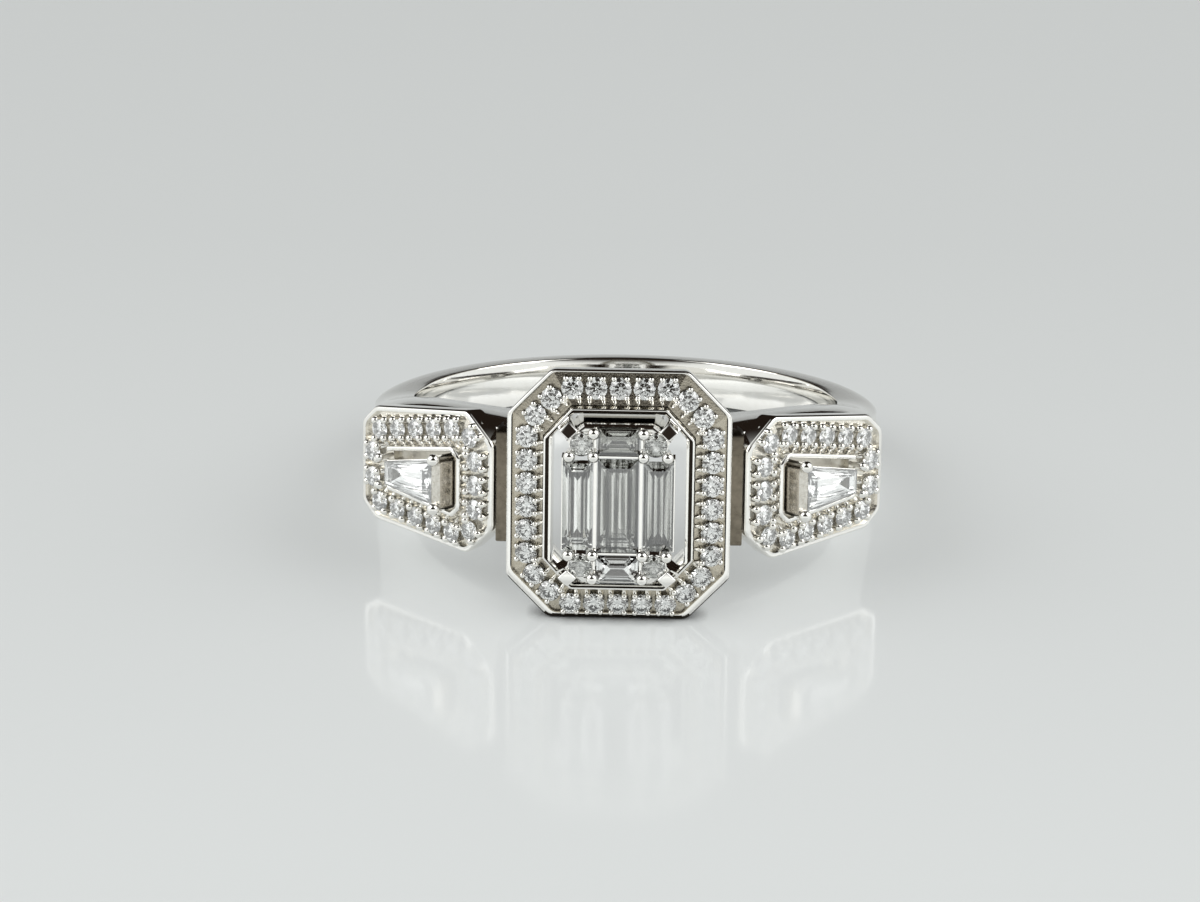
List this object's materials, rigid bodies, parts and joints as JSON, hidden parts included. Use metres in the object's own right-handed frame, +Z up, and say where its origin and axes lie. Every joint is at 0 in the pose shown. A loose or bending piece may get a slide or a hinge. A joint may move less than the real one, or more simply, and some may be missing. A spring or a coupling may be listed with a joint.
{
  "type": "halo ring",
  "caption": "Cut-corner halo ring with an open cluster of baguettes and brilliants, paved side panels holding tapered baguettes, and a plain band, lying on its side.",
  "frame": {"origin": "on the floor that the ring rests on, under the middle of its depth and width", "axes": "+Z up from the floor, -Y the way the halo faces, +X to the right of the halo seen from the front; the finger axis leans 10.4 degrees from +Z towards +Y"},
  "size_m": [0.0202, 0.0242, 0.0094],
  "materials": {
    "white_gold": "polished white gold",
    "diamond": "polished diamond",
    "pave": "small brilliants held by beads cut from the white gold bed"
  },
  "bodies": {
    "root": {"mounting": "white_gold", "halo_pave": "pave", "side_pave_left": "pave", "side_pave_right": "pave", "long_baguette_centre": "diamond", "long_baguette_left": "diamond", "long_baguette_right": "diamond", "short_baguette_top": "diamond", "short_baguette_bottom": "diamond", "round_top_left": "diamond", "round_top_right": "diamond", "round_bottom_left": "diamond", "round_bottom_right": "diamond", "tapered_baguette_left": "diamond", "tapered_baguette_right": "diamond"}
  },
  "joints": []
}
